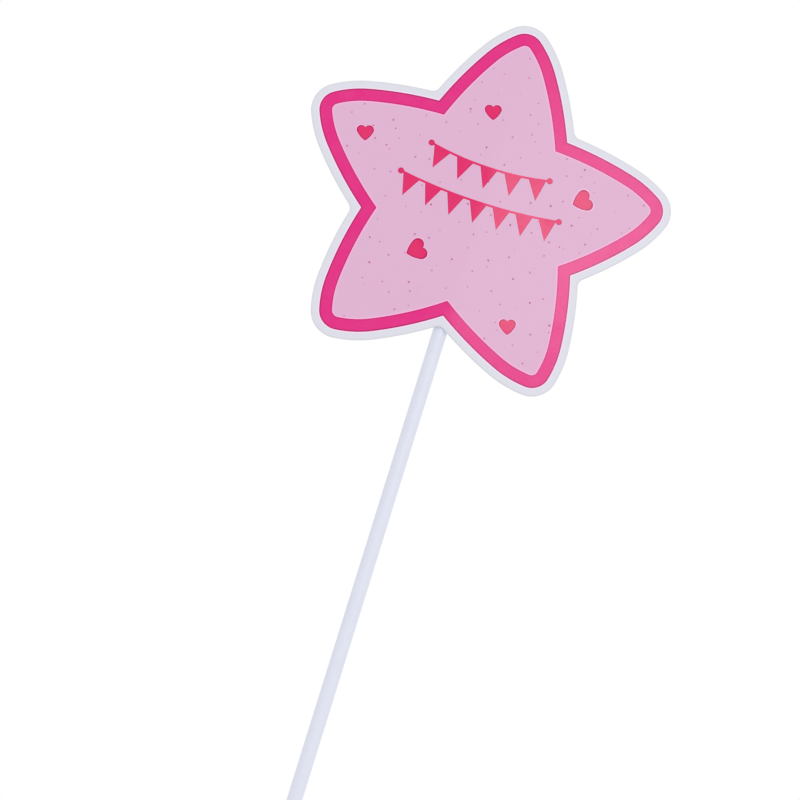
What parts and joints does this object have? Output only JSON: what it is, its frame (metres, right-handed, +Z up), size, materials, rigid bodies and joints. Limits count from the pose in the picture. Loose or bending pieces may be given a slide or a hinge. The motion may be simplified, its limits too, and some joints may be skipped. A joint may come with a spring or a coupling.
{
  "type": "cake topper",
  "caption": "Star-shaped printed card with a glossy face on a slim plastic stick, pushed into a cake as a decoration.",
  "frame": {"origin": "centre of the stick's lower end, the end that is pushed in", "axes": "+Z up along the stick, -Y the way the printed face looks, +X to the right of someone facing the print"},
  "size_m": [0.0903, 0.004, 0.2088],
  "materials": {
    "white_board": "smooth coated board",
    "magenta_ink": "printed under gloss film",
    "pale_pink_ink": "printed under gloss film",
    "rose_ink": "printed under gloss film",
    "clear_film": "clear gloss laminate",
    "white_plastic": "smooth extruded plastic",
    "clear_tape": "clear adhesive tape"
  },
  "bodies": {
    "root": {"star_card": "white_board", "print_band": "magenta_ink", "print_field": "pale_pink_ink", "print_hearts": "rose_ink", "print_bunting": "rose_ink", "gloss_film": "clear_film", "stick": "white_plastic", "back_tape": "clear_tape"}
  },
  "joints": []
}
